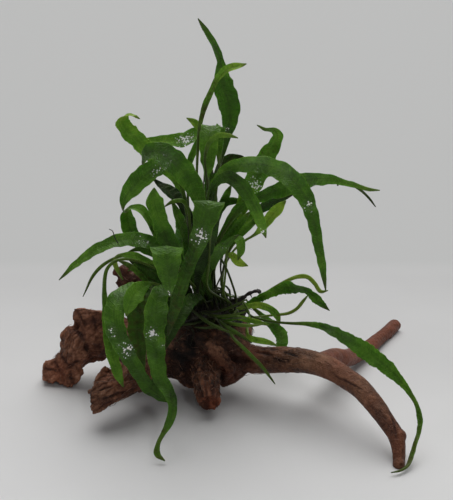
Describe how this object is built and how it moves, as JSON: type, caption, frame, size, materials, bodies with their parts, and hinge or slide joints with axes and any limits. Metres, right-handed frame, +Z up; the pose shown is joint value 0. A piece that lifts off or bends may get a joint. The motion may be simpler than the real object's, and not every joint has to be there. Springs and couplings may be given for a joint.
{
  "type": "java fern on driftwood",
  "caption": "Java fern with long strap-shaped fronds growing from rhizomes on a branching piece of reddish-brown driftwood that stands on three feet.",
  "frame": {"origin": "on the surface that the object stands on, under the middle of its bounding box", "axes": "+Z up, +X to the right as the front view shows it, -Y towards the front"},
  "size_m": [0.3161, 0.2507, 0.3028],
  "materials": {
    "driftwood": "wet, grooved and fibrous reddish-brown wood",
    "leaf_bright": "wet glossy bright green leaf with a midrib and fine veins",
    "leaf_dark": "wet glossy dark green leaf",
    "leaf_lime": "wet glossy lime to yellow-green leaf",
    "rhizome": "matt olive-brown creeping stem with scales",
    "rhizome_twig": "matt nearly black dead stem",
    "roots": "matt black and brown hair-like roots"
  },
  "bodies": {
    "root": {"driftwood_trunk": "driftwood", "driftwood_left_limb": "driftwood", "driftwood_front_left_stub": "driftwood", "driftwood_front_middle_stub": "driftwood", "driftwood_long_branch": "driftwood", "driftwood_rear_branch": "driftwood", "driftwood_back_stub": "driftwood", "driftwood_right_knob": "driftwood", "rhizome_back": "rhizome", "rhizome_middle": "rhizome", "rhizome_front": "rhizome", "frond_crown": "leaf_bright", "frond_crown_lime_tip": "leaf_lime", "frond_back_left_pale": "leaf_bright", "frond_upper_left_curl": "leaf_lime", "frond_upper_left_broad": "leaf_bright", "frond_left_drop": "leaf_bright", "frond_left_dark": "leaf_dark", "frond_left_middle": "leaf_bright", "frond_left_fold": "leaf_bright", "frond_left_upright": "leaf_bright", "frond_left_long": "leaf_bright", "frond_left_thin": "leaf_bright", "frond_left_hanging": "leaf_bright", "frond_left_small": "leaf_bright", "frond_front_left_long": "leaf_bright", "frond_front_left_short": "leaf_bright", "frond_front_long": "leaf_bright", "frond_front_right_of_middle": "leaf_bright", "frond_front_broad": "leaf_bright", "frond_middle_wet": "leaf_bright", "frond_middle_dark_strap": "leaf_dark", "frond_middle_dark_left": "leaf_dark", "frond_middle_dark_right": "leaf_dark", "frond_top_arch_left": "leaf_bright", "frond_top_arch_right": "leaf_bright", "frond_top_lime_tip": "leaf_lime", "frond_right_arch": "leaf_bright", "frond_right_curl": "leaf_lime", "frond_right_long": "leaf_bright", "frond_right_dark": "leaf_dark", "frond_right_lime": "leaf_lime", "frond_right_drop": "leaf_bright", "frond_right_hook": "leaf_bright", "frond_middle_diagonal": "leaf_bright", "frond_right_inner": "leaf_bright", "frond_right_jagged": "leaf_bright", "frond_right_thin_curl": "leaf_lime", "frond_right_behind": "leaf_dark", "frond_right_floor": "leaf_bright", "frond_over_branch": "leaf_bright", "frond_on_branch": "leaf_bright", "frond_rear_left": "leaf_bright", "frond_rear_middle": "leaf_bright", "frond_rear_right": "leaf_bright", "frond_rear_low_left": "leaf_bright", "frond_rear_low_right": "leaf_bright", "rhizome_twig": "rhizome_twig"}
  },
  "joints": []
}
